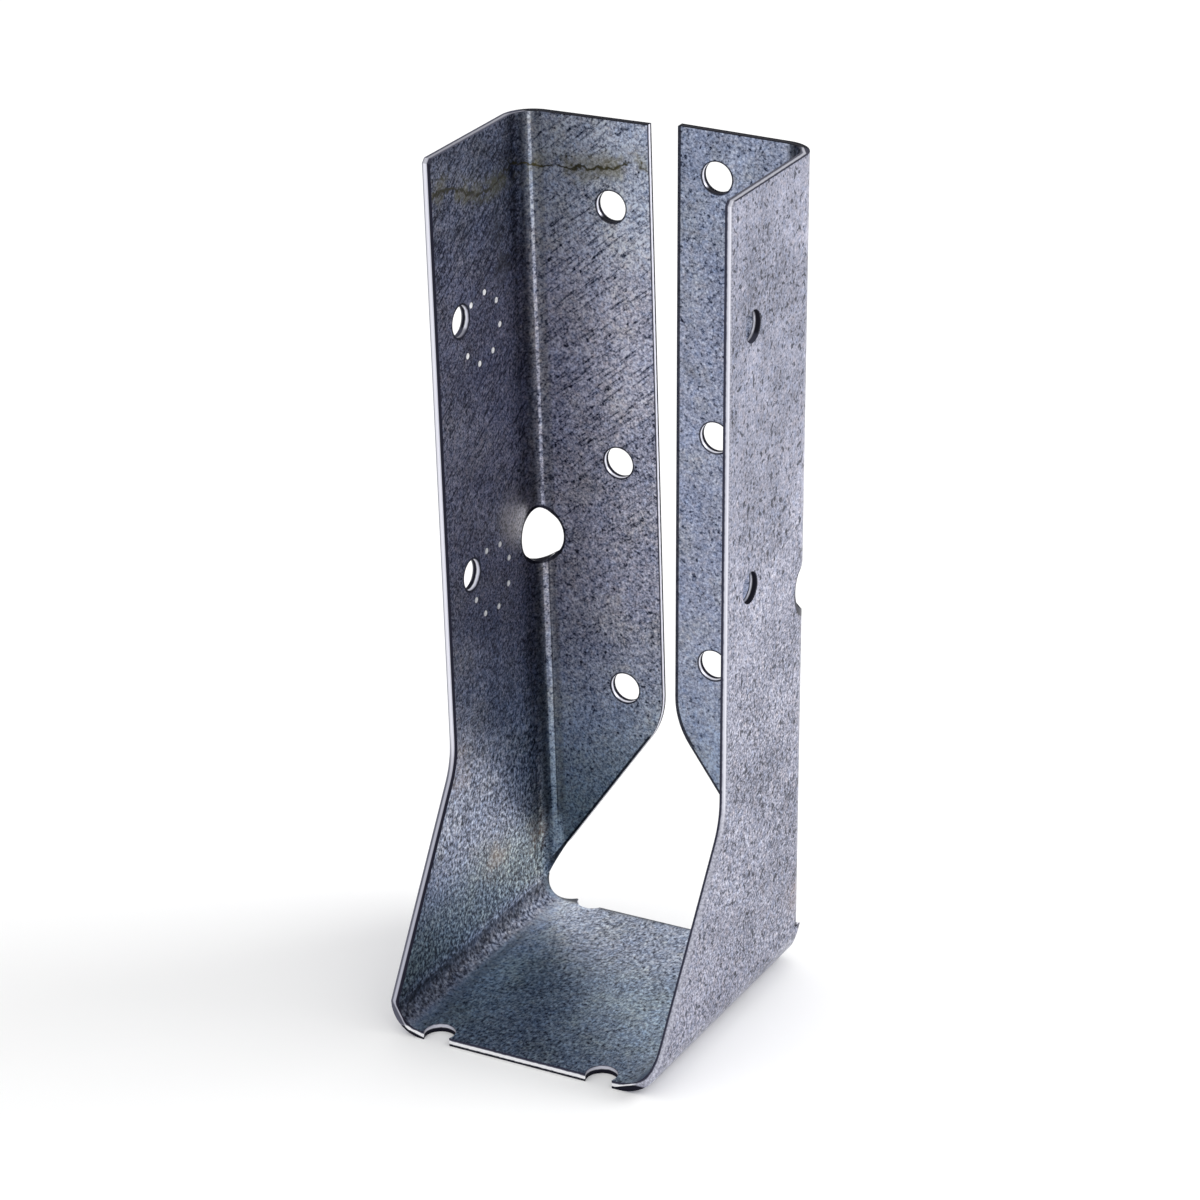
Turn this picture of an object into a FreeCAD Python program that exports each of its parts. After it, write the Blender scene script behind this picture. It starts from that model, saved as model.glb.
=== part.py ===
import FreeCAD, Part
import math
import os

from FreeCAD import Vector

# Joist hanger with concealed flanges, folded from one galvanised steel sheet.
# The seat carries the joist, the two side walls clasp it, and the two flanges turn inward behind
# it and are nailed to the header. X runs across the joist, Y points back at the header, Z is up.
# Sizes are millimetres. The origin is under the middle of the part, level with the seat's underside.

# Sheet and folds. Bends are inside radii, and the left seat fold came out tighter than the right
sheet = 1.22
left_seat_bend = 3.5
right_seat_bend = 5.6
back_bend = 3.2
wall_lean = 0.85

# Seat and walls
joist_width = 39.69
seat_depth = 44.45
wall_height = 120.65
right_wall_extra = 0.6
upper_depth = 25.6
kink_height = 33.3
kink_round = 10.0
front_foot_height = 5.0
corner_round = 0.6

# Back edge of the seat and the round relief where each seat fold ends, turned up from straight down
seat_back_trim = 1.8
corner_back_trim = 0.85
relief_hole = 8.0
left_relief_depth = 1.3
left_relief_turn = 45.0
right_relief_depth = 2.0
right_relief_turn = 70.0

# Flanges
flange_gap = 1.2
flange_length = 87.85
flange_slope = 35.7
flange_round = 12.0

# Nail holes
nail_hole = 4.48
flange_nail_inset = 5.85
flange_nail_drop = 12.15
flange_nail_rise = 4.2
flange_nail_sag = 1.45
wall_nail_inset = 6.05
wall_nail_drop = 24.4
wall_nail_rise = 26.0
right_nail_stagger = 6.4

# Tooling hole on each back fold
tooling_hole = 8.2
tooling_hole_height = 58.8

# Half-round nicks where the seat was parted from the strip
nick_inset = 7.2
front_nick_shift = -1.35
back_nick_shift = -0.55
front_nick_depth = 0.95
back_nick_depth = 0.3

# Ring of small dents beside each nail hole of the left wall
dent = 1.0
dent_depth = 0.3
dent_count = 8
ring_radius = 4.9
ring_back = 5.6
ring_drop = 2.8
upper_ring_turn = -12.0
lower_ring_turn = 16.0

# Derived places
inner_x = joist_width / 2
outer_x = inner_x + sheet
back_bend_outer = back_bend + sheet
fold_x = outer_x - back_bend_outer
front_y = -seat_depth
fold_middle = back_bend + sheet / 2
fold_length = math.radians(90) * fold_middle
flange_run = 1 / math.tan(math.radians(flange_slope))
free_edge_x = flange_gap / 2
over = 2.0


def polygon(points):
    """A face bounded by straight lines through the points."""
    return Part.Face(Part.makePolygon(points + [points[0]]))


def rounded(points, radius):
    """A face bounded by straight lines through the points, with its first corner rounded."""
    corner = points[0]
    to_last = (points[-1] - corner).normalize()
    to_next = (points[1] - corner).normalize()
    half = to_last.getAngle(to_next) / 2
    reach = radius / math.tan(half)
    middle = (to_last + to_next).normalize()
    arc_start = corner + to_last * reach
    arc_top = corner + middle * (radius / math.sin(half) - radius)
    arc_end = corner + to_next * reach
    arc = Part.Arc(arc_start, arc_top, arc_end).toShape()
    lines = Part.makePolygon([arc_end] + points[1:] + [arc_start])
    return Part.Face(Part.Wire([arc] + lines.Edges))


def seat_bend_of(side):
    """Inside radius of the fold between the seat and one wall."""
    return right_seat_bend if side > 0 else left_seat_bend


def fold_top(side):
    """Height at which one wall starts, above its seat fold. It is also the fold's outside radius."""
    return seat_bend_of(side) + sheet


def lean_axis(side):
    """A point on the axis of one seat fold, drawn on the right."""
    return Vector(outer_x - fold_top(side), 0, fold_top(side))


def leaned(shape, side):
    """A shape drawn for an upright right wall, leaned outward about the seat fold and put on its side."""
    placed = shape.copy()
    placed.rotate(lean_axis(side), Vector(0, 1, 0), wall_lean)
    if side < 0:
        placed = placed.mirror(Vector(0, 0, 0), Vector(1, 0, 0))
    return placed


def height_of(side):
    """Height of one wall. The right one is a little taller."""
    return wall_height + (right_wall_extra if side > 0 else 0)


def flange_foot(side):
    """Height at which a flange's free edge would meet its slanted foot."""
    return height_of(side) - flange_length


def stagger_of(side):
    """How much higher one side's nail holes sit than the left side's."""
    return right_nail_stagger if side > 0 else 0


def half_section(side):
    """Edges of half the bent section, from the seat's underside round one fold and wall to the seat's top."""
    lean = math.radians(wall_lean)
    up = Vector(math.sin(lean), 0, math.cos(lean))
    out = Vector(math.cos(lean), 0, -math.sin(lean))
    middle = math.radians(-45 - wall_lean / 2)
    halfway = Vector(math.cos(middle), 0, math.sin(middle))
    down = Vector(0, 0, -1)
    centre = lean_axis(side)
    inside = seat_bend_of(side)
    outside = fold_top(side)
    rise = up * (height_of(side) + over - outside)
    points = [
        Vector(0, 0, 0),
        centre + down * outside,
        centre + halfway * outside,
        centre + out * outside,
        centre + out * outside + rise,
        centre + out * inside + rise,
        centre + out * inside,
        centre + halfway * inside,
        centre + down * inside,
        Vector(0, 0, sheet),
    ]
    p = [Vector(side * point.x, point.y, point.z) for point in points]
    return [
        Part.makeLine(p[0], p[1]),
        Part.Arc(p[1], p[2], p[3]).toShape(),
        Part.makeLine(p[3], p[4]),
        Part.makeLine(p[4], p[5]),
        Part.makeLine(p[5], p[6]),
        Part.Arc(p[6], p[7], p[8]).toShape(),
        Part.makeLine(p[8], p[9]),
    ]


def channel():
    """Seat, seat folds and uncut stock for both walls, as one bent section drawn back from the front."""
    left_edges = half_section(-1)
    left_edges.reverse()
    section = Part.Face(Part.Wire(half_section(1) + left_edges))
    section.translate(Vector(0, front_y, 0))
    return section.extrude(Vector(0, seat_depth - corner_back_trim, 0))


def front_waste(side):
    """What is cut away before a wall: the straight upper edge, the rounded kink and the slope to the seat."""
    slope = (seat_depth - upper_depth) / (kink_height - front_foot_height)
    top = height_of(side)
    far_y = front_y - over
    points = [
        Vector(0, -upper_depth, kink_height),
        Vector(0, -upper_depth, top),
        Vector(0, far_y, top),
        Vector(0, far_y, front_foot_height - over / slope),
    ]
    face = rounded(points, kink_round)
    face.translate(Vector(sheet, 0, 0))
    return leaned(face.extrude(Vector(outer_x + over, 0, 0)), side)


def top_waste(side):
    """What is cut away above a wall, with the top front corner rounded a little."""
    top = height_of(side)
    high = top + wall_height
    points = [
        Vector(0, -upper_depth - over, top - corner_round),
        Vector(0, -upper_depth, top - corner_round),
        Vector(0, -upper_depth + corner_round, top),
        Vector(0, over, top),
        Vector(0, over, high),
        Vector(0, -seat_depth - over, high),
        Vector(0, -seat_depth - over, top - corner_round),
    ]
    face = polygon(points)
    face.translate(Vector(sheet, 0, 0))
    return leaned(face.extrude(Vector(outer_x + over, 0, 0)), side)


def back_waste(side):
    """What is cut away behind a wall, from the top of the seat fold up, to make room for the back fold."""
    length = height_of(side) + over - fold_top(side)
    start = Vector(fold_x - back_bend, -back_bend_outer, fold_top(side))
    return leaned(Part.makeBox(outer_x, back_bend_outer + over, length, start), side)


def flange_stock(side):
    """The back fold and its flange, upright and uncut, from the seat fold to the top."""
    centre = Vector(fold_x, -back_bend_outer, 0)
    diagonal = Vector(math.sqrt(0.5), math.sqrt(0.5), 0)
    edges = [
        Part.makeLine(Vector(inner_x, -back_bend_outer, 0), Vector(outer_x, -back_bend_outer, 0)),
        Part.Arc(
            Vector(outer_x, -back_bend_outer, 0),
            centre + diagonal * back_bend_outer,
            Vector(fold_x, 0, 0),
        ).toShape(),
        Part.makeLine(Vector(fold_x, 0, 0), Vector(free_edge_x, 0, 0)),
        Part.makeLine(Vector(free_edge_x, 0, 0), Vector(free_edge_x, -sheet, 0)),
        Part.makeLine(Vector(free_edge_x, -sheet, 0), Vector(fold_x, -sheet, 0)),
        Part.Arc(
            Vector(fold_x, -sheet, 0),
            centre + diagonal * back_bend,
            Vector(inner_x, -back_bend_outer, 0),
        ).toShape(),
    ]
    section = Part.Face(Part.Wire(edges))
    section.translate(Vector(0, 0, fold_top(side)))
    return section.extrude(Vector(0, 0, height_of(side) - fold_top(side)))


def flange_waste(side):
    """What is cut from the flat of a flange below its slanted foot."""
    foot = flange_foot(side)
    fold_z = foot - (fold_x - free_edge_x) * flange_run
    low_z = fold_z - wall_height
    points = [
        Vector(free_edge_x, over, foot),
        Vector(fold_x, over, fold_z),
        Vector(fold_x, over, low_z),
        Vector(free_edge_x - over, over, low_z),
        Vector(free_edge_x - over, over, foot + flange_round),
        Vector(free_edge_x, over, foot + flange_round),
    ]
    face = rounded(points, flange_round)
    return face.extrude(Vector(0, -2 * over - sheet, 0))


def wrapped(length, radius, height):
    """A point at a length round the back fold from the wall, at a radius from the fold's axis."""
    angle = length / fold_middle
    x = fold_x + radius * math.cos(angle)
    y = -back_bend_outer + radius * math.sin(angle)
    return Vector(x, y, height)


def fold_waste(side):
    """What is cut from the fold, as the flange's slanted foot carries on round it."""
    fold_z = flange_foot(side) - (fold_x - free_edge_x) * flange_run
    steps = 8
    inner = []
    outer = []
    for i in range(steps + 1):
        run = fold_length * i / steps
        height = fold_z - run * flange_run
        inner.append(wrapped(fold_length - run, back_bend / 2, height))
        outer.append(wrapped(fold_length - run, back_bend_outer + over / 2, height))
    inner_curve = Part.BSplineCurve()
    inner_curve.interpolate(inner)
    outer_curve = Part.BSplineCurve()
    outer_curve.interpolate(outer)
    face = Part.makeRuledSurface(inner_curve.toShape(), outer_curve.toShape())
    return face.extrude(Vector(0, 0, -wall_height))


def on_normal(run, reach):
    """Where the sheet's normal, at a run round the back fold, meets an upright plane across the fold.

    The plane is turned half way round the fold and stands at a reach from the fold's axis.
    """
    intercept = reach * math.sqrt(2)
    if run < 0:
        offset = Vector(intercept - run, run, 0)
    elif run > fold_length:
        offset = Vector(fold_length - run, intercept - fold_length + run, 0)
    else:
        angle = run / fold_middle
        ray = reach / math.cos(angle - math.radians(45))
        offset = Vector(ray * math.cos(angle), ray * math.sin(angle), 0)
    return Vector(fold_x, -back_bend_outer, 0) + offset


def tooling_ring(side, reach):
    """Outline of the round tooling hole, carried along the sheet's normals to a flat plane."""
    middle = height_of(side) - wall_height + tooling_hole_height
    radius = tooling_hole / 2
    steps = 32
    points = []
    for i in range(steps):
        turn = 2 * math.pi * i / steps
        place = on_normal(fold_length / 2 + radius * math.cos(turn), reach)
        points.append(place + Vector(0, 0, middle + radius * math.sin(turn)))
    curve = Part.BSplineCurve()
    curve.interpolate(Points=points, PeriodicFlag=True)
    return Part.Wire(curve.toShape())


def tooling_punch(side):
    """The tooling hole as punched in the flat sheet and then wrapped round the back fold."""
    inside = tooling_ring(side, back_bend / 3)
    outside = tooling_ring(side, back_bend_outer + sheet)
    return Part.makeLoft([inside, outside], True, True)


def flange_nail_heights(side):
    """Heights of the three nail holes in one flange."""
    low = wall_height - flange_length + flange_nail_rise
    high = wall_height - flange_nail_drop
    middle = (low + high) / 2 - flange_nail_sag
    return [height + stagger_of(side) for height in (low, middle, high)]


def wall_nail_heights(side):
    """Heights of the two nail holes in one wall."""
    low = kink_height + wall_nail_rise
    high = wall_height - wall_nail_drop
    return [height + stagger_of(side) for height in (low, high)]


def nail_drills(side):
    """The drills of one side: along Y through the flange and along X through the wall."""
    radius = nail_hole / 2
    drills = []
    for height in flange_nail_heights(side):
        start = Vector(free_edge_x + flange_nail_inset, -sheet - over, height)
        drills.append(Part.makeCylinder(radius, sheet + 2 * over, start, Vector(0, 1, 0)))
    for height in wall_nail_heights(side):
        start = Vector(inner_x - over, -upper_depth + wall_nail_inset, height)
        drills.append(Part.makeCylinder(radius, sheet + 2 * over, start, Vector(1, 0, 0)))
    return [leaned(drill, side) for drill in drills]


def nicks():
    """The half-round nicks in the seat's front and back edges, and the back edge trimmed between them."""
    radius = nail_hole / 2
    spread = inner_x - nick_inset
    tools = []
    for sign in (-1, 1):
        front_x = front_nick_shift + sign * spread
        back_x = back_nick_shift + sign * spread
        front = Vector(front_x, front_y + front_nick_depth, -over)
        back = Vector(back_x, -corner_back_trim + back_nick_depth, -over)
        tools.append(Part.makeCylinder(radius, sheet + 2 * over, front))
        tools.append(Part.makeCylinder(radius, sheet + 2 * over, back))
    strip = Part.makeBox(
        2 * spread,
        over,
        sheet + 2 * over,
        Vector(back_nick_shift - spread, -seat_back_trim, -over),
    )
    return tools + [strip]


def relief(side):
    """The round relief in the back edge of a seat fold, square to the sheet part way round the fold."""
    radius = relief_hole / 2
    depth = right_relief_depth if side > 0 else left_relief_depth
    turn = math.radians(right_relief_turn if side > 0 else left_relief_turn)
    start = lean_axis(side) + Vector(0, radius - corner_back_trim - depth, 0)
    direction = Vector(math.sin(turn), 0, -math.cos(turn))
    punch = Part.makeCylinder(radius, fold_top(side) + over, start, direction)
    return punch if side > 0 else punch.mirror(Vector(0, 0, 0), Vector(1, 0, 0))


def dents():
    """Rings of small pointed dents in the inner face of the left wall, one ring below each nail hole."""
    tools = []
    turns = (lower_ring_turn, upper_ring_turn)
    for height, turn in zip(wall_nail_heights(-1), turns):
        hole_y = -upper_depth + wall_nail_inset
        for i in range(dent_count):
            angle = math.radians(turn + 360 * i / dent_count)
            y = hole_y + ring_back + ring_radius * math.cos(angle)
            z = height - ring_drop + ring_radius * math.sin(angle)
            if math.hypot(y - hole_y, z - height) > (nail_hole + dent) / 2:
                start = Vector(inner_x - dent_depth, y, z)
                punch = Part.makeCone(dent, 0, 2 * dent_depth, start, Vector(1, 0, 0))
                tools.append(leaned(punch, -1))
    return tools


def hanger():
    """The whole folded sheet as one solid."""
    body = channel()
    for side in (-1, 1):
        body = body.cut([front_waste(side), top_waste(side), back_waste(side)])
    for side in (-1, 1):
        flange = flange_stock(side).cut([flange_waste(side), fold_waste(side)])
        body = body.fuse(leaned(flange, side))
    body = body.removeSplitter()
    drills = nail_drills(-1) + nail_drills(1)
    punches = [leaned(tooling_punch(side), side) for side in (-1, 1)]
    reliefs = [relief(-1), relief(1)]
    body = body.cut(drills + punches + reliefs + nicks() + dents())
    body = body.removeSplitter()
    body.translate(Vector(0, seat_depth / 2, 0))
    return body.Solids[0] if len(body.Solids) == 1 else body


os.makedirs("parts", exist_ok=True)
shape = hanger()
shape.exportStep("parts/joist_hanger.step")
print("solids", len(shape.Solids), "valid", shape.isValid(), "volume", round(shape.Volume, 1))
print("box", shape.BoundBox)
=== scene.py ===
import bmesh
import bpy
import math
from mathutils import Matrix, Vector
from mathutils.bvhtree import BVHTree


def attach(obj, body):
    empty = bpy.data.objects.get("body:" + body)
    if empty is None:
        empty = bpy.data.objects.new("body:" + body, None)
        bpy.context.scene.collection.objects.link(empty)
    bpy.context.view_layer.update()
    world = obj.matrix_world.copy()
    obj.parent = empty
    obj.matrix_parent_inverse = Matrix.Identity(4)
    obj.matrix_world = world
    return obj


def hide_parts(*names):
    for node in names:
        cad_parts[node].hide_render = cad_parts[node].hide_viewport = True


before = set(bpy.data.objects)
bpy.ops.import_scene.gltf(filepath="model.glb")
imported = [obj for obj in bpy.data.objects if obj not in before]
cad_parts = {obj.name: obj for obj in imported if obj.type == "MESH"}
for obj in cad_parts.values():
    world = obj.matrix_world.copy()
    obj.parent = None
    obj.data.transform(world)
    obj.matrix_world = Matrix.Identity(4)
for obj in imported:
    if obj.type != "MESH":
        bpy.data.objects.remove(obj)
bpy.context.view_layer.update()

# Joist hanger with concealed flanges, folded from galvanised sheet. Lengths are metres.
mm = 0.001
node = "joist_hanger"
sheet = 1.22 * mm

# How the sheet's faces are told from its cut edges
thickest = 1.3 * sheet
behind_face = 0.01 * mm
facing = 0.96
sharp_angle = math.radians(28)
flat_angle = math.radians(0.4)
weld = 0.002 * mm
middle = Vector((0.0, 0.0, 60.0)) * mm
large_faces_lead = 60
FACE, CUT, DENT = range(3)

# Nail holes, in rows that lean outward with the walls. Those on the right sit higher
nail_radius = 2.24 * mm
side_lean = 0.01484
flange_hole_x = 6.38 * mm
flange_mid_y = 21.615 * mm
flange_hole_rows = (37.14 * mm, 71.44 * mm, 108.63 * mm)
wall_mid_x = 19.77 * mm
wall_hole_y = 2.675 * mm
wall_hole_rows = (59.23 * mm, 96.18 * mm)
right_lift = 6.37 * mm

# Tooling hole, which is round in the flat sheet and goes round the back fold
tooling_radius = 4.1 * mm
tooling_z = 58.78 * mm
tooling_middle = Vector((-19.0, 20.0, 58.8)) * mm
tooling_reach = 5.2 * mm

# Folds
fold_centre = Vector((16.645, 17.805)) * mm
fold_foot = 4.72 * mm
fold_inside = 3.8 * mm
fold_middle = 3.81 * mm
quarter_turn = math.radians(90)

# Seat, walls and flanges
outer_x = 21.065 * mm
seat_front_y = -22.225 * mm
flange_edge_x = 0.497 * mm
flange_top_y = 20.2 * mm

# Sloping foot of the flanges, from the end of its rounded corner
slope_start = Vector((3.21, 29.86)) * mm
slope_across = Vector((0.8206, 0.5715))
slope_right_lift = 0.57 * mm
slope_round = 12.0 * mm
slope_round_middle = Vector((13.05, 37.5)) * mm

# The photograph's camera
camera_place = Vector((0.2502, -0.457475, 0.2932))
camera_azimuth = math.radians(28.604)
camera_elevation = math.radians(24.043)
camera_roll = math.radians(-1.016)
camera_lens = 127.209
camera_sensor = 36.0
camera_near = 0.01
camera_far = 20.0

# Studio
white = (1.0, 1.0, 1.0, 1.0)
key_place = Vector((0.5, 0.35, 0.5))
key_aim = Vector((0.08, 0.1, 0.0))
key_size = 0.4
key_power = 2.8
floor_reach = 3.0
floor_steps = 8
floor_colour = (0.93, 0.93, 0.93, 1.0)
floor_rough = 0.9


class Nodes:
    """A material's node tree, with short calls for the nodes used here."""

    def __init__(self, name):
        self.material = bpy.data.materials.new(name)
        self.material.use_nodes = True
        self.tree = self.material.node_tree
        self.tree.nodes.clear()

    def add(self, kind, **settings):
        made = self.tree.nodes.new(kind)
        for key, value in settings.items():
            setattr(made, key, value)
        return made

    def link(self, source, target):
        self.tree.links.new(source, target)

    def put(self, socket, value):
        """Sets a socket to a number or colour, or links it to another socket."""
        if isinstance(value, bpy.types.NodeSocket):
            self.link(value, socket)
        else:
            socket.default_value = value

    def math(self, operation, a, b=0.0):
        made = self.add("ShaderNodeMath", operation=operation)
        self.put(made.inputs[0], a)
        self.put(made.inputs[1], b)
        return made.outputs[0]

    def chain(self, operation, values):
        """One operation carried through a row of values."""
        result = values[0]
        for value in values[1:]:
            result = self.math(operation, result, value)
        return result

    def plus(self, *values):
        return self.chain("ADD", values)

    def times(self, *values):
        return self.chain("MULTIPLY", values)

    def most(self, *values):
        return self.chain("MAXIMUM", values)

    def least(self, *values):
        return self.chain("MINIMUM", values)

    def minus(self, a, b):
        return self.math("SUBTRACT", a, b)

    def absolute(self, value):
        return self.math("ABSOLUTE", value)

    def opposite(self, share):
        """What a share leaves of 1."""
        return self.minus(1.0, share)

    def length(self, a, b):
        """The length of the hypotenuse over two sides."""
        return self.math("SQRT", self.plus(self.times(a, a), self.times(b, b)))

    def place(self):
        """The point's place in the part's own frame."""
        return self.add("ShaderNodeTexCoord").outputs["Object"]

    def normal(self):
        """The direction that the surface faces."""
        return self.add("ShaderNodeNewGeometry").outputs["Normal"]

    def axes(self, vector):
        """The three numbers of a vector."""
        apart = self.add("ShaderNodeSeparateXYZ")
        self.link(vector, apart.inputs[0])
        return tuple(apart.outputs)

    def attribute(self, name):
        return self.add("ShaderNodeAttribute", attribute_name=name).outputs["Fac"]

    def away(self, point):
        """The distance to a point."""
        made = self.add("ShaderNodeVectorMath", operation="DISTANCE")
        self.link(self.place(), made.inputs[0])
        made.inputs[1].default_value = point
        return made.outputs["Value"]

    def near(self, point, reach, core):
        """1 within a share of the reach of a point, its core, falling to 0 at the reach."""
        return self.ramp(self.away(point), reach, reach * core)

    def ramp(self, value, low, high, to_low=0.0, to_high=1.0, smooth=True):
        """A value moved from one range to another and held at its ends."""
        made = self.add("ShaderNodeMapRange", clamp=True)
        made.interpolation_type = "SMOOTHSTEP" if smooth else "LINEAR"
        self.put(made.inputs["Value"], value)
        self.put(made.inputs["From Min"], low)
        self.put(made.inputs["From Max"], high)
        self.put(made.inputs["To Min"], to_low)
        self.put(made.inputs["To Max"], to_high)
        return made.outputs["Result"]

    def band(self, value, start, full, falling, end):
        """0 outside start and end, and 1 from full to falling."""
        return self.times(self.ramp(value, start, full), self.ramp(value, end, falling))

    def drawn_out(self, direction, share):
        """The point's place squeezed along a direction, so that a noise's marks are drawn out that way."""
        along = Vector(direction).normalized()
        reach = self.add("ShaderNodeVectorMath", operation="DOT_PRODUCT")
        self.link(self.place(), reach.inputs[0])
        reach.inputs[1].default_value = along
        back = self.add("ShaderNodeVectorMath", operation="SCALE")
        back.inputs[0].default_value = along * share
        self.link(reach.outputs["Value"], back.inputs["Scale"])
        rest = self.add("ShaderNodeVectorMath", operation="SUBTRACT")
        self.link(self.place(), rest.inputs[0])
        self.link(back.outputs[0], rest.inputs[1])
        return rest.outputs[0]

    def noise(self, scale, detail, roughness, vector=None):
        """Noise from 0 to 1, with its scale in marks to the metre."""
        made = self.add("ShaderNodeTexNoise")
        self.link(self.place() if vector is None else vector, made.inputs["Vector"])
        made.inputs["Scale"].default_value = scale
        made.inputs["Detail"].default_value = detail
        made.inputs["Roughness"].default_value = roughness
        return made.outputs["Fac"]

    def about_middle(self, noise, weight):
        """A noise taken about its middle and weighed."""
        return self.times(self.minus(noise, 0.5), weight)

    def mix(self, share, a, b, blend="MIX"):
        """Two colours mixed. The node takes colours at its inputs 6 and 7, and gives one at its output 2."""
        made = self.add("ShaderNodeMix", data_type="RGBA", blend_type=blend)
        self.put(made.inputs[0], share)
        self.put(made.inputs[6], a)
        self.put(made.inputs[7], b)
        return made.outputs[2]

    def paint(self, base, share, shade):
        """A base with a share of a display colour over it."""
        return self.mix(share, base, colour(*shade))

    def tint(self, base, share, shade):
        """A base multiplied by a share of a display colour."""
        return self.mix(share, base, colour(*shade), "MULTIPLY")

    def stops(self, value, run):
        """A colour read off a run of (place, display colour) stops. A new ramp has two stops already."""
        made = self.add("ShaderNodeValToRGB")
        elements = made.color_ramp.elements
        for i, (place, shade) in enumerate(run):
            stop = elements[i] if i < 2 else elements.new(place)
            stop.position = place
            stop.color = colour(*shade)
        self.put(made.inputs[0], value)
        return made.outputs[0]

    def bump(self, height, distance, strength, below=None):
        made = self.add("ShaderNodeBump")
        self.link(height, made.inputs["Height"])
        made.inputs["Distance"].default_value = distance
        made.inputs["Strength"].default_value = strength
        if below is not None:
            self.link(below, made.inputs["Normal"])
        return made.outputs["Normal"]

    def surface(self, **values):
        """The finished material. The shader's inputs are named in small letters, as in base_color."""
        shader = self.add("ShaderNodeBsdfPrincipled")
        for key, value in values.items():
            self.put(shader.inputs[key.replace("_", " ").title().replace("Ior", "IOR")], value)
        output = self.add("ShaderNodeOutputMaterial")
        self.link(shader.outputs[0], output.inputs["Surface"])
        return self.material


def colour(red, green, blue):
    """A display colour, 0 to 255, as the linear colour that shaders take."""
    def linear(value):
        value = value / 255
        return value / 12.92 if value <= 0.04045 else ((value + 0.055) / 1.055) ** 2.4
    return (linear(red), linear(green), linear(blue), 1.0)


# Rims round the holes: how far past a hole's edge the dark goes, from where it ends to where it is full
nail_rim = (0.28 * mm, 0.12 * mm)
tooling_rim = (0.42 * mm, 0.24 * mm)


def hole_middles():
    """Middles of the ten nail holes, halfway through the sheet."""
    for side, lift in ((-1, 0.0), (1, right_lift)):
        for row in flange_hole_rows:
            z = row + lift
            yield Vector((side * (flange_hole_x + side_lean * z), flange_mid_y, z))
        for row in wall_hole_rows:
            z = row + lift
            yield Vector((side * (wall_mid_x + side_lean * z), wall_hole_y, z))


def past_hole(n):
    """How far a point lies outside the nearest nail hole's rim."""
    nearest = n.least(*[n.away(place) for place in hole_middles()])
    return n.minus(nearest, math.hypot(nail_radius, sheet / 2))


def past_tooling_hole(n, spot, fold):
    """How far a point lies outside the tooling hole's rim, measured along the sheet round the back fold."""
    share = n.ramp(fold.turn, 0.0, 1.0, smooth=False)
    round_fold = n.about_middle(share, fold_middle * quarter_turn)
    on_flange = n.most(n.times(fold.out, -1.0), 0.0)
    on_wall = n.most(n.minus(fold_centre.y, spot.y), 0.0)
    along = n.minus(n.plus(round_fold, on_flange), on_wall)
    return n.minus(n.length(along, n.minus(spot.z, tooling_z)), tooling_radius)


# Dark line along the flanges' edges: its width, and the ranges where its three lengths run
edge_line = (0.55 * mm, 0.4 * mm)
slope_line = (0.45 * mm, 0.3 * mm)
upright_heights = (36.5 * mm, 37.5 * mm)
corner_heights = (29.5 * mm, 30.5 * mm, 37.5 * mm, 38.0 * mm)
corner_widths = (6.0 * mm, 5.0 * mm)
slope_heights = (31.0 * mm, 30.0 * mm)


def flange_edge_line(n, spot):
    """1 on the dark line along the right flange's free edge and along the sloping foot of both flanges."""
    past_edge = n.minus(spot.x, n.plus(n.times(spot.z, side_lean), flange_edge_x))
    upright = n.times(n.ramp(past_edge, *edge_line), n.ramp(spot.z, *upright_heights))
    aside = n.minus(spot.x, slope_round_middle.x)
    above = n.minus(spot.z, slope_round_middle.y)
    past_corner = n.minus(slope_round, n.length(aside, above))
    in_corner = n.times(n.band(spot.z, *corner_heights), n.ramp(spot.x, *corner_widths))
    corner = n.times(n.ramp(past_corner, *edge_line), in_corner)
    start = n.plus(n.times(spot.right, slope_right_lift), slope_start.y)
    out = n.minus(n.absolute(spot.x), slope_start.x)
    up = n.minus(spot.z, start)
    past_slope = n.plus(n.times(out, slope_across.x), n.times(up, slope_across.y))
    slope = n.times(n.ramp(past_slope, *slope_line), n.ramp(spot.z, *slope_heights))
    return n.most(n.times(n.most(upright, corner), spot.right), slope)


# Zones of the sheet: where each starts and where it is full, across (x), front to back (y) or up (z)
seat_heights = (2.2 * mm, 1.6 * mm)
right_wall_widths = (19.4 * mm, 20.4 * mm)
left_wall_widths = (-17.5 * mm, -18.5 * mm)
left_wall_depths = (19.5 * mm, 18.5 * mm)
flange_depths = (19.5 * mm, 20.5 * mm)
left_flange_widths = (0.0, -2.0 * mm)
right_widths = (0.0, 1.0 * mm)


class Spot:
    """A point's place on the sheet, and how much it belongs to each zone there, from 0 to 1."""

    def __init__(self, n):
        self.x, self.y, self.z = n.axes(n.place())
        self.outside = n.attribute("across")
        self.inside = n.opposite(self.outside)
        self.right = n.ramp(self.x, *right_widths)
        self.seat = n.times(n.ramp(self.z, *seat_heights), self.inside)
        left = n.times(n.ramp(self.x, *left_wall_widths), n.ramp(self.y, *left_wall_depths))
        self.left_wall = n.times(left, self.inside)
        self.right_wall = n.times(self.outside, n.ramp(self.x, *right_wall_widths))
        self.hidden = n.minus(self.outside, self.right_wall)
        self.flanges = n.times(n.ramp(self.y, *flange_depths), self.inside)
        self.left_flange = n.times(self.flanges, n.ramp(self.x, *left_flange_widths))
        self.right_flange = n.times(self.flanges, self.right)


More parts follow.
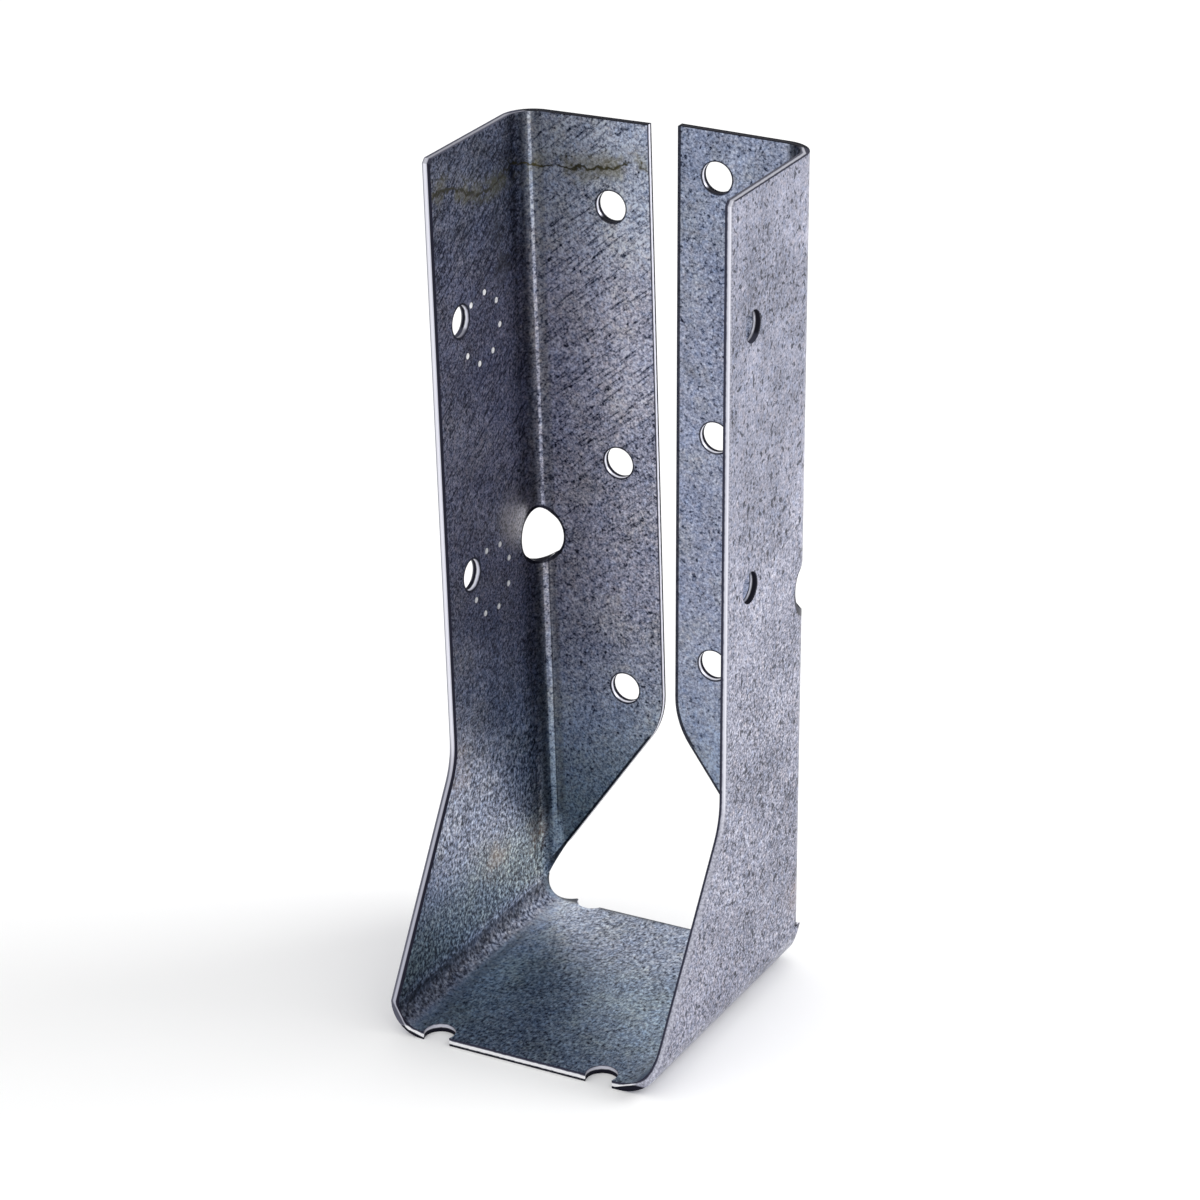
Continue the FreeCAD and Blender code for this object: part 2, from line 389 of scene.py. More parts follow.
# Back folds. A fold's turn goes from 0 at the wall to 1 at the flange. The amounts are shares of painted
# shade
fold_ends = (0.0, 0.02, 0.98, 1.0)
fold_skin = 0.1 * mm
line_turn = 0.635
line_half = (0.025, 0.065)
line_wider = (70.0 * mm, 52.0 * mm, 0.0, 0.03)
line_dull = 0.17
wall_side_start = (98.0 * mm, 110.0 * mm, 0.05, 0.28)
wall_side_end = 0.42
wall_side_shade = (0.12, 0.55)
flange_side_clear = (0.85, 1.0, 0.0, 0.5)
shade_line_turn = 0.735
shade_line_dull = (0.032, 0.014, 0.0, 0.85)
shade_line_heights = (76.0 * mm, 58.0 * mm)
back_fold_heights = (12.0 * mm, 16.0 * mm)

# Left seat fold, whose turn goes from 0 at the wall to 1 at the seat. The amounts are shares of painted
# shade
seat_fold_skin = (fold_inside + 0.3 * mm, fold_inside + 0.1 * mm)
seat_fold_wall_shade = (0.5, 0.2, 0.42, 0.52)
seat_fold_clear = (0.62, 1.0, 0.0, 0.42)


class Fold:
    """A point's place beside a fold: how far round, whether on it at all, and how far from its centre."""

    def __init__(self, n, out, up):
        self.out = out
        self.turn = n.math("DIVIDE", n.math("ARCTAN2", up, out), quarter_turn)
        self.between = n.band(self.turn, *fold_ends)
        self.reach = n.length(out, up)


def back_fold(n, spot):
    """Where a point lies beside the back fold on its own side. Both folds lean outward with the walls."""
    lean = n.times(n.minus(spot.z, fold_foot), side_lean)
    out = n.minus(n.minus(n.absolute(spot.x), fold_centre.x), lean)
    return Fold(n, out, n.minus(spot.y, fold_centre.y))


def back_fold_shade(n, spot, fold):
    """Paints shade into the inside of the back folds, all but one narrow bright line along each."""
    skin = n.ramp(fold.reach, fold_inside + fold_skin, fold_inside - fold_skin)
    off = n.absolute(n.minus(fold.turn, line_turn))
    off_line = n.ramp(n.minus(off, n.ramp(spot.z, *line_wider)), *line_half)
    wall_start = n.ramp(spot.z, *wall_side_start)
    wall_side = n.ramp(fold.turn, wall_start, wall_side_end, *wall_side_shade)
    flange_side = n.ramp(fold.turn, *flange_side_clear)
    dull = n.plus(n.times(off_line, n.minus(wall_side, flange_side)), line_dull)
    # A dark line of painted shade along the lower part of each fold, beside the bright line
    shade_line = n.ramp(n.absolute(n.minus(fold.turn, shade_line_turn)), *shade_line_dull)
    shade_line = n.times(shade_line, n.ramp(spot.z, *shade_line_heights))
    return n.times(n.most(dull, shade_line), fold.between, skin, n.ramp(spot.z, *back_fold_heights))


def seat_fold_shade(n, spot):
    """How much painted shade darkens the inside of the left seat fold, and where it is."""
    out = n.minus(n.times(spot.x, -1.0), outer_x - fold_foot)
    fold = Fold(n, out, n.minus(fold_foot, spot.z))
    inside = n.times(fold.between, n.ramp(fold.reach, *seat_fold_skin))
    dull = n.minus(n.ramp(fold.turn, *seat_fold_wall_shade), n.ramp(fold.turn, *seat_fold_clear))
    return n.times(dull, inside), inside


# Water line: its height where it runs over the left wall, the fold and the flange, and how it wavers
wall_line_height = (-3.0 * mm, 12.0 * mm, 115.5 * mm, 112.4 * mm)
fold_line_rise = (12.0 * mm, 19.0 * mm, 0.0, 0.9 * mm)
flange_line_rise = (-16.0 * mm, -3.5 * mm, 0.0, 1.5 * mm)
waver_noise = (130.0, 3.0, 0.6)
waver_height = 4.0 * mm
ripple_noise = (900.0, 2.0, 0.6)
ripple_height = 1.6 * mm
gap_noise = (420.0, 2.0, 0.5)
gap_range = (0.3, 0.44)
line_core = (0.36 * mm, 0.08 * mm)
line_halo = (3.4 * mm, 0.3 * mm, 0.0, 0.6)
halo_mottle = (0.42, 0.62)
water_line_widths = (0.0, -4.0 * mm)


def water_line(n, spot, bloom):
    """The broken brown line that standing water left near the top of the left side, and its halo."""
    wall_height = n.ramp(spot.y, *wall_line_height)
    rise = n.plus(n.ramp(spot.y, *fold_line_rise), n.ramp(spot.x, *flange_line_rise))
    waver = n.about_middle(n.noise(*waver_noise), waver_height)
    ripple = n.about_middle(n.noise(*ripple_noise), ripple_height)
    off = n.absolute(n.minus(n.plus(spot.z, waver, ripple), n.plus(wall_height, rise)))
    left = n.ramp(spot.x, *water_line_widths)
    line = n.times(n.ramp(off, *line_core), n.ramp(n.noise(*gap_noise), *gap_range), left)
    halo = n.times(n.ramp(off, *line_halo), n.ramp(bloom, *halo_mottle), left)
    return line, halo


# Noises of the zinc: marks to the metre, detail and roughness
cloud_noise = (42.0, 3.0, 0.55)
blotch_noise = (130.0, 2.0, 0.5)
patch_noise = (180.0, 3.0, 0.6)
bloom_noise = (260.0, 3.0, 0.6)
hue_noise = (1100.0, 2.0, 0.6)
speck_noise = (1150.0, 0.0, 0.5)
upright_noise = (1500.0, 2.0, 0.5)
pit_noise = (1700.0, 1.0, 0.4)
coarse_noise = (1800.0, 1.0, 0.5)
score_noise = (2700.0, 2.0, 0.55)
seat_grain_noise = (3000.0, 2.0, 0.65)
grain_noise = (3300.0, 2.0, 0.65)

# How far the seat's grain, the walls' upright streaks and the scores are drawn out, and along what
seat_way = (0.0, 1.0, 0.0)
seat_squeeze = 0.4
streak_way = (0.0, 0.0, 1.0)
streak_squeeze = 0.85
flange_score_way = (0.77, 0.0, 0.64)
wall_score_way = (0.0, 0.85, 0.53)
score_squeeze = 0.89


class Textures:
    """The zinc's noises, which its tone, its tints and its stains share."""

    def __init__(self, n, spot):
        self.clouds = n.noise(*cloud_noise)
        self.bloom = n.noise(*bloom_noise)
        self.coarse = n.noise(*coarse_noise)
        self.seat_grain = n.noise(*seat_grain_noise, n.drawn_out(seat_way, seat_squeeze))
        off_seat = n.times(n.noise(*grain_noise), n.opposite(spot.seat))
        self.grain = n.plus(off_seat, n.times(self.seat_grain, spot.seat))


# Tone by zone, from 0 for black to 1 for white. A range's last two numbers are the amounts at its ends
middle_tone = 0.54
# Painted shade over the left wall's inner face, inside the channel
left_wall_shade = 0.12
left_wall_top_darker = (96.0 * mm, 106.0 * mm, 0.0, 0.09)
left_wall_band = (30.0 * mm, 42.0 * mm, 52.0 * mm, 66.0 * mm)
left_wall_band_darker = 0.05
# Painted light lifting the left wall's foot, mottled by the coarse grain
left_wall_foot = (40.0 * mm, 26.0 * mm)
left_wall_foot_painted_light = 0.1
left_wall_foot_coarser = 1.1
# Painted shade on the left wall just above the seat fold
beside_seat_fold = (15.0 * mm, 5.5 * mm)
beside_seat_fold_shade = 0.15
outside_darker = 0.03
left_flange_lighter = (70.0 * mm, 92.0 * mm, 0.02, 0.15)
left_flange_top_lighter = (98.0 * mm, 106.0 * mm, 0.0, 0.06)
right_flange_lighter = (105.0 * mm, 75.0 * mm, 0.0, 0.1)
flange_foot_lighter = (50.0 * mm, 26.0 * mm, 0.0, 0.22)
right_wall_lighter = (80.0 * mm, 50.0 * mm, 0.0, 0.035)
# A darker band near the top of the right wall's outer face
right_top_band = (99.5 * mm, 101.5 * mm, 107.0 * mm, 109.0 * mm)
right_top_darker = 0.07
seat_left_lighter = (-8.0 * mm, -15.0 * mm, 0.03, 0.17)


def zone_tone(n, spot, coarse):
    """How light the zinc is in each zone, before its grain. The left wall's inner face carries painted
    shade, most beside the seat fold, and painted light at its foot.
    """
    top = n.ramp(spot.z, *left_wall_top_darker)
    band = n.times(n.band(spot.z, *left_wall_band), left_wall_band_darker)
    beside_fold = n.times(n.ramp(spot.z, *beside_seat_fold), beside_seat_fold_shade)
    foot = n.plus(left_wall_foot_painted_light, n.about_middle(coarse, left_wall_foot_coarser))
    foot = n.times(n.ramp(spot.z, *left_wall_foot), foot)
    left_wall = n.minus(foot, n.plus(left_wall_shade, top, band, beside_fold))
    left_flange = n.plus(n.ramp(spot.z, *left_flange_lighter), n.ramp(spot.z, *left_flange_top_lighter))
    right_top = n.times(n.band(spot.z, *right_top_band), right_top_darker)
    right_wall = n.minus(n.ramp(spot.z, *right_wall_lighter), right_top)
    return n.plus(
        middle_tone,
        n.times(spot.left_wall, left_wall),
        n.times(spot.left_flange, left_flange),
        n.times(spot.right_flange, n.ramp(spot.z, *right_flange_lighter)),
        n.times(spot.flanges, n.ramp(spot.z, *flange_foot_lighter)),
        n.times(spot.right_wall, right_wall),
        n.times(spot.outside, -outside_darker),
        n.times(spot.seat, n.ramp(spot.x, *seat_left_lighter)),
    )


# Grain: how strongly each noise shows, and how much calmer it is in some zones
cloud_weight = 0.4
bloom_weight = 0.3
blotch_weight = 0.22
streak_weight = 0.18
grain_weight = 1.9
coarse_weight = 0.8
seat_grain_weight = 0.15
right_wall_calm = (40.0 * mm, 90.0 * mm, -0.15, 0.4)
hidden_calm = 0.25
right_flange_calm = 0.2
seat_fold_calm = 0.4


def grain_tone(n, spot, textures, in_seat_fold):
    """The changes in tone that the zinc's clouds, blotches, streaks and grain make."""
    calm = n.plus(
        n.times(spot.right_wall, n.ramp(spot.z, *right_wall_calm)),
        n.times(spot.hidden, hidden_calm),
        n.times(spot.right_flange, right_flange_calm),
        n.times(in_seat_fold, seat_fold_calm),
    )
    fine = n.about_middle(textures.grain, grain_weight)
    flecks = n.plus(fine, n.about_middle(textures.coarse, coarse_weight))
    blotches = n.about_middle(n.noise(*blotch_noise), blotch_weight)
    upright = n.noise(*upright_noise, n.drawn_out(streak_way, streak_squeeze))
    streaks = n.about_middle(upright, streak_weight)
    return n.plus(
        n.about_middle(textures.clouds, cloud_weight),
        n.about_middle(textures.bloom, bloom_weight),
        n.times(flecks, n.opposite(calm)),
        n.times(n.plus(blotches, streaks), spot.outside),
        n.times(n.about_middle(textures.seat_grain, seat_grain_weight), spot.seat),
    )


# Scores and pits: how dark they are, and where they are fewer
score_dark = (0.55, 0.68, 0.0, 0.36)
score_uneven = -0.6
scored_clouds = (0.35, 0.6, 0.45, 1.0)
scored_heights = (48.0 * mm, 84.0 * mm, 0.3, 0.9)
wall_score_weight = 1.1
right_flange_scores = (0.0, 2.0 * mm, 1.0, 0.2)
pit_range = (0.62, 0.70)
pit_dark = 0.34
hidden_pits_less = 0.2
speck_dark = (0.69, 0.74, 0.0, 0.4)


def scores(n, direction, mask):
    """Short dark scores in the zinc, drawn out along one direction."""
    marks = n.noise(*score_noise, n.drawn_out(direction, score_squeeze))
    dark = n.ramp(marks, *score_dark)
    return n.times(n.minus(n.about_middle(marks, score_uneven), dark), mask)


def mark_tone(n, spot, clouds):
    """The changes in tone that scores, pits and the right wall's sparse specks make."""
    scored = n.times(n.ramp(clouds, *scored_clouds), n.ramp(spot.z, *scored_heights))
    on_flanges = n.times(spot.flanges, scored, n.ramp(spot.x, *right_flange_scores))
    on_wall = n.times(spot.left_wall, scored, wall_score_weight)
    pit_depth = n.minus(pit_dark, n.times(spot.hidden, hidden_pits_less))
    pits = n.times(n.ramp(n.noise(*pit_noise), *pit_range), pit_depth)
    specks = n.times(n.ramp(n.noise(*speck_noise), *speck_dark), spot.right_wall)
    marks = n.plus(scores(n, flange_score_way, on_flanges), scores(n, wall_score_way, on_wall))
    return n.minus(marks, n.plus(pits, specks))


# Tints. Each display colour multiplies the zinc's own, by shares that change from place to place
teal = (229, 252, 255)
teal_low = (56.0 * mm, 14.0 * mm, 0.0, 0.95)
teal_high = (92.0 * mm, 112.0 * mm, 0.0, 0.4)
teal_left_wall_less = 0.6
teal_right_flange_less = 0.6
teal_seat_less = (-2.0 * mm, 12.0 * mm, 0.0, 0.5)
green = (246, 255, 240)
green_heights = (4.0 * mm, 7.0 * mm, 10.0 * mm, 20.0 * mm)
right_flange_blue = (236, 246, 255)
right_flange_blue_share = 0.8
cool_fleck = (228, 240, 255)
cool_fleck_range = (0.52, 0.7, 0.0, 0.6)
warm_fleck = (255, 244, 234)
warm_fleck_range = (0.48, 0.3, 0.0, 0.6)
olive_patch = (255, 253, 246)
olive_patch_range = (0.5, 0.66)
blue_patch = (247, 250, 255)
blue_patch_range = (0.5, 0.36)


def tinted(n, spot, base):
    """The zinc with its teal, green and blue zones, and with cool and warm flecks and patches."""
    share = n.times(n.plus(n.ramp(spot.z, *teal_low), n.ramp(spot.z, *teal_high)), spot.inside)
    share = n.times(share, n.opposite(n.times(spot.left_wall, teal_left_wall_less)))
    share = n.times(share, n.opposite(n.times(spot.seat, n.ramp(spot.y, *teal_seat_less))))
    share = n.times(share, n.opposite(n.times(spot.right_flange, teal_right_flange_less)))
    base = n.tint(base, share, teal)
    base = n.tint(base, n.times(spot.left_wall, n.band(spot.z, *green_heights)), green)
    base = n.tint(base, n.times(spot.right_flange, right_flange_blue_share), right_flange_blue)
    hue = n.noise(*hue_noise)
    base = n.tint(base, n.ramp(hue, *cool_fleck_range), cool_fleck)
    base = n.tint(base, n.ramp(hue, *warm_fleck_range), warm_fleck)
    patches = n.noise(*patch_noise)
    base = n.tint(base, n.times(n.ramp(patches, *olive_patch_range), spot.inside), olive_patch)
    return n.tint(base, n.times(n.ramp(patches, *blue_patch_range), spot.inside), blue_patch)


# Worn and stained places, each with a core that is a share of its reach, and where the noise lets it show
worn_middle = Vector((-21.0, 15.0, 63.0)) * mm
worn_reach = 6.0 * mm
worn_core = 0.4
worn_zinc = (176, 170, 168)
worn_grain = (0.3, 0.6, 0.15, 0.5)
stain_middle = Vector((-21.2, 15.5, 103.0)) * mm
stain_reach = 8.0 * mm
stain_core = 0.2
stain_grey = (58, 58, 54)
stain_bloom = (0.46, 0.58, 0.0, 0.7)
brown_middles = ((-20.6, 17.5, 12.5), (-20.4, -3.0, 32.0), (-20.5, 6.0, 14.0), (21.3, 18.5, 13.0))
brown_reach = 5.0 * mm
brown_core = 0.1
brown_rust = (168, 142, 118)
brown_bloom = (0.4, 0.6, 0.05, 0.3)
water_halo = (118, 112, 74)
water_brown = (60, 56, 32)
water_share = 0.9


def stained(n, spot, textures, base):
    """The zinc with its worn place, its grey stain, its brown spots and its water line."""
    worn = n.times(n.near(worn_middle, worn_reach, worn_core), n.ramp(textures.grain, *worn_grain))
    base = n.paint(base, n.times(worn, spot.inside), worn_zinc)
    stain = n.times(n.near(stain_middle, stain_reach, stain_core), n.ramp(textures.bloom, *stain_bloom))
    base = n.paint(base, n.times(stain, spot.left_wall), stain_grey)
    brown = n.times(n.ramp(textures.bloom, *brown_bloom), n.opposite(spot.hidden))
    for place in brown_middles:
        near = n.near(Vector(place) * mm, brown_reach, brown_core)
        base = n.paint(base, n.times(near, brown), brown_rust)
    line, halo = water_line(n, spot, textures.bloom)
    base = n.paint(base, n.times(halo, spot.inside), water_halo)
    return n.paint(base, n.times(line, spot.inside, water_share), water_brown)


# Zinc, from its darkest tone to its lightest, with the shadow in the folds and on the holes' rims
zinc_run = (
    (0.0, (36, 38, 52)),
    (0.3, (98, 101, 118)),
    (0.5, (141, 143, 160)),
    (0.7, (170, 170, 188)),
    (1.0, (220, 220, 232)),
)
fold_shadow = (30, 31, 40)
rim_shadow = (28, 28, 38)
rim_share = 0.9
bloom_depth = 0.05 * mm
bloom_strength = 0.25
grain_depth = 0.015 * mm
grain_strength = 0.5
zinc_rough = (0.3, 0.7, 0.30, 0.42)


def zinc():
    """Dull hot-dip zinc: cloudy blue-grey, coarse grain, dark pits, slanted scores and water stains."""
    n = Nodes("galvanised_zinc")
    spot = Spot(n)
    textures = Textures(n, spot)
    fold = back_fold(n, spot)
    seat_fold_share, in_seat_fold = seat_fold_shade(n, spot)
    tone = n.plus(
        zone_tone(n, spot, textures.coarse),
        grain_tone(n, spot, textures, in_seat_fold),
        mark_tone(n, spot, textures.clouds),
    )
    base = n.stops(tone, zinc_run)
    # Painted shade inside the back folds and the left seat fold
    base = n.paint(base, n.plus(back_fold_shade(n, spot, fold), seat_fold_share), fold_shadow)
    base = tinted(n, spot, base)
    base = stained(n, spot, textures, base)
    rims = n.most(
        n.ramp(past_hole(n), *nail_rim),
        n.ramp(past_tooling_hole(n, spot, fold), *tooling_rim),
        n.times(flange_edge_line(n, spot), spot.flanges),
    )
    base = n.paint(base, n.times(rims, rim_share), rim_shadow)
    bump = n.bump(textures.bloom, bloom_depth, bloom_strength)
    bump = n.bump(textures.grain, grain_depth, grain_strength, bump)
    rough = n.ramp(textures.grain, *zinc_rough)
    return n.surface(base_color=base, metallic=1.0, roughness=rough, normal=bump)


# Cut edges, read across the sheet from 0 at the inner side to 1 at the outer. The dark at both corners is
# partly the zinc's broken edge and partly painted shade of their rounding
edge_run = (
    (0.0, (50, 50, 64)),
    (0.26, (60, 61, 76)),
    (0.4, (206, 207, 220)),
    (0.64, (222, 222, 232)),
    (0.76, (36, 36, 46)),
    (1.0, (30, 30, 40)),
)
edge_noise = (1500.0, 2.0, 0.5)
edge_uneven = 0.14
in_hole_shift = (0.2 * mm, 0.0, 0.0, 0.22)
in_nick_shift = (seat_front_y + 0.1 * mm, seat_front_y + 0.3 * mm, 0.0, 0.24)
seat_edge_heights = (1.6 * mm, 1.3 * mm)
left_widths = (0.0, -1.0 * mm)
facing_forward = (-0.55, -0.7)
clear_of_hole = (0.1 * mm, 0.4 * mm)


class EdgeSpot:
    """A point's place on a cut edge, and how much it belongs to each kind of edge there, from 0 to 1."""

    def __init__(self, n):
        self.x, self.y, self.z = n.axes(n.place())
        self.facing_back, self.facing_up = n.axes(n.normal())[1:]
        self.across = n.attribute("across")
        self.past_hole = past_hole(n)
        self.left = n.ramp(self.x, *left_widths)
        self.seat = n.ramp(self.z, *seat_edge_heights)
        forward = n.times(n.ramp(self.facing_back, *facing_forward), n.opposite(self.seat))
        self.forward = n.times(forward, n.ramp(self.past_hole, *clear_of_hole))
        in_hole = n.ramp(self.past_hole, *in_hole_shift)
        in_nick = n.times(self.seat, n.ramp(self.y, *in_nick_shift))
        uneven = n.about_middle(n.noise(*edge_noise), edge_uneven)
        self.shifted = n.plus(self.across, uneven, in_hole, in_nick)


# Front edges of the walls, whose outer half and foot look like the sheet's face on the right
outer_line = (0.54, 0.62, 0.0, 0.9)
outer_half = (0.70, 0.82)
bright_zinc = (236, 236, 246)
dark_fleck = (136, 137, 152)
light_fleck = (194, 195, 210)
fleck_range = (0.35, 0.65)
front_foot_heights = (38.0 * mm, 30.0 * mm, 0.0, 0.85)
front_foot = (0.22, 0.34)
left_foot_grey = (168, 169, 183)
left_foot_line = (0.68, 0.8)
left_foot_line_grey = (92, 93, 106)
left_inner_line = (0.46, 0.36)
left_inner_shadow = (38, 38, 50)
left_outer_line = (0.84, 0.94, 0.0, 0.7)
left_outer_grey = (84, 85, 100)


def front_edges(n, edge, base):
    """The edges that face forward. The left one has a dark line inside and a grey line outside."""
    fleck = n.ramp(n.noise(*grain_noise), *fleck_range)
    face_like = n.mix(fleck, colour(*dark_fleck), colour(*light_fleck))
    right_colour = n.mix(n.ramp(edge.across, *outer_half), colour(*bright_zinc), face_like)
    line_colour = n.mix(edge.left, right_colour, colour(*bright_zinc))
    base = n.mix(n.times(edge.forward, n.ramp(edge.across, *outer_line)), base, line_colour)
    foot = n.times(edge.forward, n.ramp(edge.z, *front_foot_heights))
    foot_colour = n.mix(edge.left, face_like, colour(*left_foot_grey))
    base = n.mix(n.times(foot, n.ramp(edge.across, *front_foot)), base, foot_colour)
    foot_line = n.times(foot, edge.left, n.ramp(edge.across, *left_foot_line))
    base = n.paint(base, foot_line, left_foot_line_grey)
    left_edge = n.times(edge.forward, edge.left)
    base = n.paint(base, n.times(left_edge, n.ramp(edge.across, *left_inner_line)), left_inner_shadow)
    return n.paint(base, n.times(left_edge, n.ramp(edge.across, *left_outer_line)), left_outer_grey)


# Seat's front edge, and the holes whose cut edge is in shadow
seat_front_depths = (seat_front_y + 0.3 * mm, seat_front_y + 0.1 * mm)
seat_front_stripe = (0.28, 0.4, 0.64, 0.76)
seat_front_zinc = (250, 250, 253)
tooling_core = 0.9
tooling_shadow = (0.0, 0.35, 0.35, 1.0)
in_hole_range = (0.2 * mm, 0.0)
right_hole_widths = (18.0 * mm, 19.0 * mm)
right_hole_shadow = (0.2, 0.42, 0.1, 1.0)
hole_shadow = (30, 30, 38)


def seat_front(n, edge, base):
    """The bright stripe along the seat's front edge."""
    on_front = n.times(edge.seat, n.ramp(edge.y, *seat_front_depths))
    return n.paint(base, n.times(on_front, n.band(edge.shifted, *seat_front_stripe)), seat_front_zinc)


def shaded_holes(n, edge):
    """1 on the dark cut edges of the left tooling hole and of the right wall's nail holes."""
    tooling = n.near(tooling_middle, tooling_reach, tooling_core)
    tooling = n.times(tooling, n.ramp(edge.facing_up, *tooling_shadow))
    right = n.times(n.ramp(edge.past_hole, *in_hole_range), n.ramp(edge.x, *right_hole_widths))
    return n.most(tooling, n.times(right, n.ramp(edge.across, *right_hole_shadow)))


# Top edges, which are darker at the back, and edges seen from behind
facing_top = (0.6, 0.8)
top_heights = (90.0 * mm, 92.0 * mm)
top_grey = (80, 81, 96)
top_share_right = 0.4
top_share_left = 0.7
back_top_depths = (flange_top_y, flange_top_y + 0.6 * mm)
back_top_shadow = (22, 22, 28)
back_top_share = 0.95
facing_behind = (0.5, 0.7, 0.0, 0.6)
behind_grey = (146, 147, 162)

# Where the cut edges are dull, which blackens their corners and their painted shadows, and how their corners
# are rounded
outer_corner_dull = (0.64, 0.76, 0.0, 0.85)
inner_corner_dull = (0.4, 0.26, 0.0, 0.6)
shadow_dull = 0.9
rounding = (0.5, 0.3)
rounding_depth = 0.12 * mm
rounding_strength = 0.6
edge_rough = 0.36


def sheared():
    """A cut edge under a thin skin of zinc: a bright stripe between two dark rounded corners, whose dark is
    partly the zinc's broken edge and partly painted shade.
    """
    n = Nodes("sheared_edge")
    edge = EdgeSpot(n)
    base = n.stops(edge.shifted, edge_run)
    base = front_edges(n, edge, base)
    base = seat_front(n, edge, base)
    shaded = shaded_holes(n, edge)
    base = n.paint(base, shaded, hole_shadow)
    top = n.times(n.ramp(edge.facing_up, *facing_top), n.ramp(edge.z, *top_heights))
    top_share = n.ramp(edge.left, 0.0, 1.0, top_share_right, top_share_left)
    base = n.paint(base, n.times(top, top_share), top_grey)
    back_top = n.times(top, n.ramp(edge.y, *back_top_depths))
    base = n.paint(base, n.times(back_top, back_top_share), back_top_shadow)
    base = n.paint(base, n.ramp(edge.facing_back, *facing_behind), behind_grey)
    outer_corner = n.times(n.ramp(edge.shifted, *outer_corner_dull), n.opposite(edge.forward))
    corners = n.plus(outer_corner, n.ramp(edge.shifted, *inner_corner_dull))
    dull = n.most(n.times(n.most(back_top, shaded), shadow_dull), corners)
    rounded = n.ramp(n.absolute(n.minus(edge.across, 0.5)), *rounding)
    return n.surface(
        base_color=base,
        metallic=n.opposite(dull),
        roughness=edge_rough,
        specular_ior_level=0.0,
        normal=n.bump(rounded, rounding_depth, rounding_strength),
    )


# Dents, whose bright bottoms are painted glints inside a dark rim, and whose lower ring's glint is painted
# duller
dent_run = ((0.0, (12, 12, 18)), (0.17, (20, 20, 28)), (0.26, (255, 255, 255)))
low_dent_heights = (80.0 * mm, 70.0 * mm, 0.0, 0.3)
low_dent_grey = (90, 92, 108)
dent_rough = 0.4


def painted_glint():
    """A painted glint at the bottom of a small dent, inside its dark rim."""
    n = Nodes("painted_glint_dent")
    base = n.stops(n.attribute("across"), dent_run)
    height = n.axes(n.place())[2]
    base = n.paint(base, n.ramp(height, *low_dent_heights), low_dent_grey)
    return n.surface(base_color=base, roughness=dent_rough)


def kind_of(face, tree):
    """Whether a face is the sheet's own or a cut, told by what lies straight behind it."""
    inward = -face.normal
    start = face.calc_center_median() + inward * behind_face
    place, normal, _, depth = tree.ray_cast(start, inward)
    if place is not None and depth < thickest and -normal.dot(face.normal) > facing:
        return FACE
    return CUT


def across_sheet(vertex):
    """How far through the sheet a vertex lies: 0 on the inner side, 1 on the outer, 0.5 between."""
    for face in vertex.link_faces:
        if face.material_index == FACE:
            outward = face.normal.dot(face.calc_center_median() - middle) > 0
            return 1.0 if outward else 0.0
    return 0.5


def folded_sheet():
    """The folded sheet, with its cut edges marked so that their corners look rounded."""
    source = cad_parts[node]
    work = bmesh.new()
    work.from_mesh(source.data)
    bmesh.ops.remove_doubles(work, verts=work.verts, dist=weld)
    bmesh.ops.dissolve_limit(work, angle_limit=flat_angle, verts=work.verts, edges=work.edges)
    work.normal_update()
    work.verts.index_update()
    tree = BVHTree.FromBMesh(work)
    for face in work.faces:
        face.material_index = kind_of(face, tree)
        face.smooth = True
    for edge in work.edges:
        edge.smooth = edge.calc_face_angle(0.0) < sharp_angle
    across = [across_sheet(vertex) for vertex in work.verts]
    for face in work.faces:
        if face.material_index == CUT and max(across[vertex.index] for vertex in face.verts) < 1:
            face.material_index = DENT
    mesh = bpy.data.meshes.new("folded_sheet")
    work.to_mesh(mesh)
    work.free()
    for make in (zinc, sheared, painted_glint):
        mesh.materials.append(make())
    depth = mesh.attributes.new("across", "FLOAT", "POINT")
    depth.data.foreach_set("value", across)
    piece = bpy.data.objects.new("folded_sheet", mesh)
    bpy.context.scene.collection.objects.link(piece)
    normals = piece.modifiers.new("flat_faces", "WEIGHTED_NORMAL")
    normals.keep_sharp = True
    normals.weight = large_faces_lead
    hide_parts(node)
    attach(piece, "root")


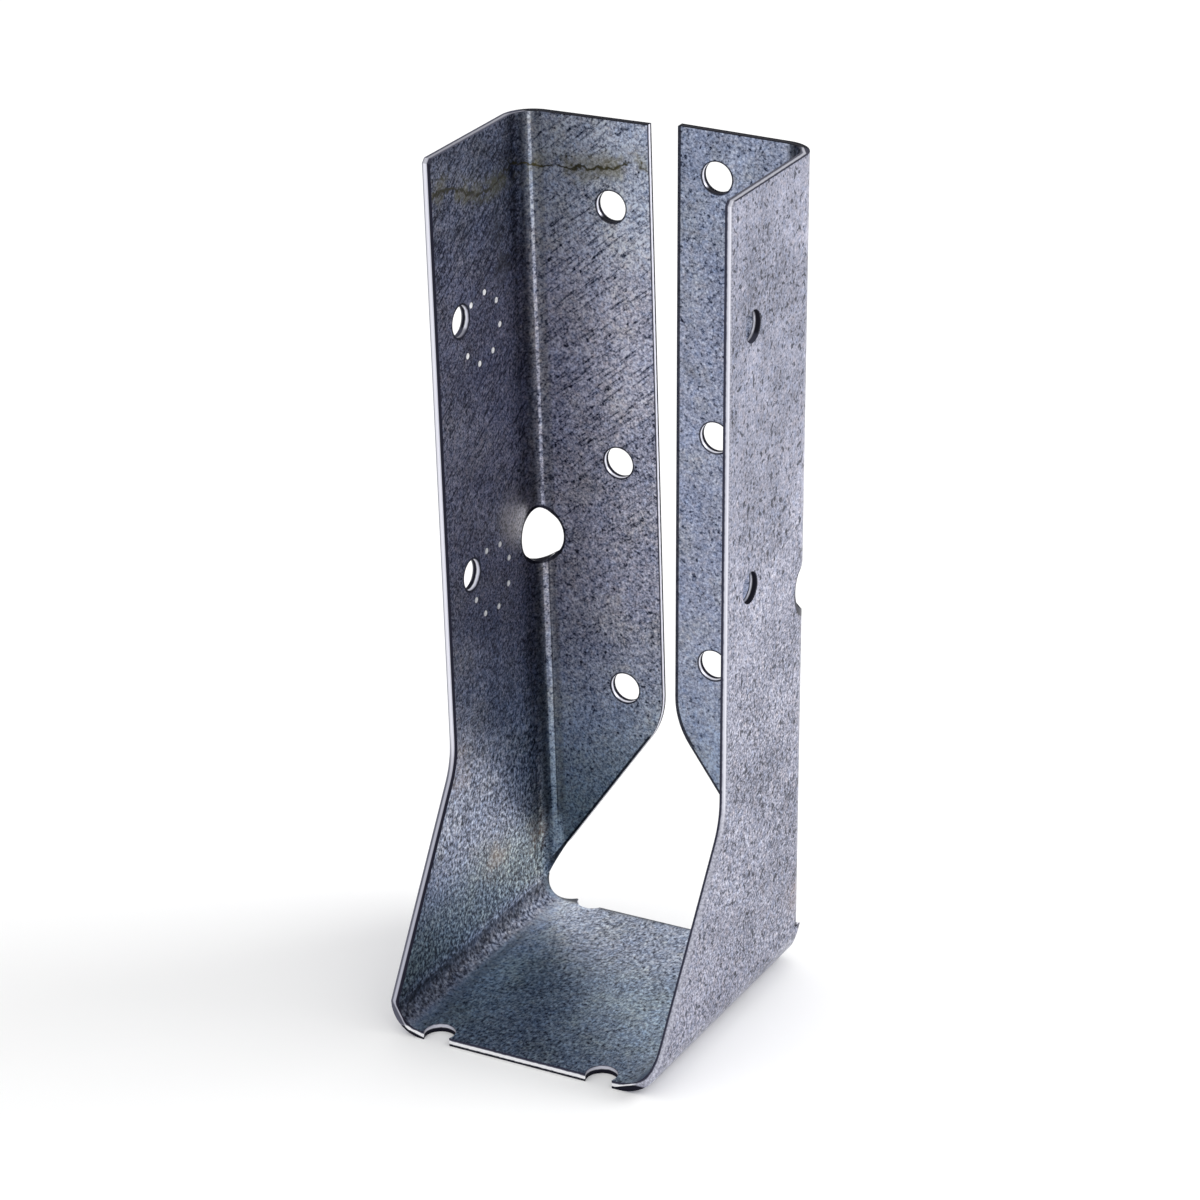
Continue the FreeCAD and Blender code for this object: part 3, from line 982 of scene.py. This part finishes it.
def surround():
    """An even white surround, shown without a film look."""
    world = bpy.data.worlds.new("surround")
    world.use_nodes = True
    background = world.node_tree.nodes["Background"]
    background.inputs["Color"].default_value = white
    background.inputs["Strength"].default_value = 1.0
    bpy.context.scene.world = world
    bpy.context.scene.view_settings.view_transform = "Standard"


def key_light():
    """One soft square lamp, high behind the part and to its right."""
    data = bpy.data.lights.new("key", "AREA")
    data.shape = "SQUARE"
    data.size = key_size
    data.energy = key_power
    lamp = bpy.data.objects.new("key", data)
    bpy.context.scene.collection.objects.link(lamp)
    lamp.location = key_place
    lamp.rotation_mode = "QUATERNION"
    lamp.rotation_quaternion = (key_aim - key_place).to_track_quat("-Z", "Y")


def pale_floor():
    """A plain pale floor, level with the seat's underside."""
    work = bmesh.new()
    bmesh.ops.create_grid(work, x_segments=floor_steps, y_segments=floor_steps, size=floor_reach)
    mesh = bpy.data.meshes.new("floor")
    work.to_mesh(mesh)
    work.free()
    n = Nodes("pale_floor")
    mesh.materials.append(n.surface(base_color=floor_colour, roughness=floor_rough))
    floor = bpy.data.objects.new("floor", mesh)
    bpy.context.scene.collection.objects.link(floor)


def camera():
    """A long lens from the front right, a little above the part."""
    level = Vector((math.cos(camera_azimuth), math.sin(camera_azimuth), 0))
    ahead = Vector((
        -math.sin(camera_azimuth) * math.cos(camera_elevation),
        math.cos(camera_azimuth) * math.cos(camera_elevation),
        -math.sin(camera_elevation),
    ))
    upward = level.cross(ahead)
    right = level * math.cos(camera_roll) + upward * math.sin(camera_roll)
    top = upward * math.cos(camera_roll) - level * math.sin(camera_roll)
    data = bpy.data.cameras.new("camera")
    data.sensor_fit = "HORIZONTAL"
    data.sensor_width = camera_sensor
    data.lens = camera_lens
    data.clip_start = camera_near
    data.clip_end = camera_far
    made = bpy.data.objects.new("camera", data)
    bpy.context.scene.collection.objects.link(made)
    turn = Matrix((right, top, -ahead)).transposed().to_4x4()
    made.matrix_world = Matrix.Translation(camera_place) @ turn
    bpy.context.scene.camera = made


folded_sheet()
surround()
key_light()
pale_floor()
camera()
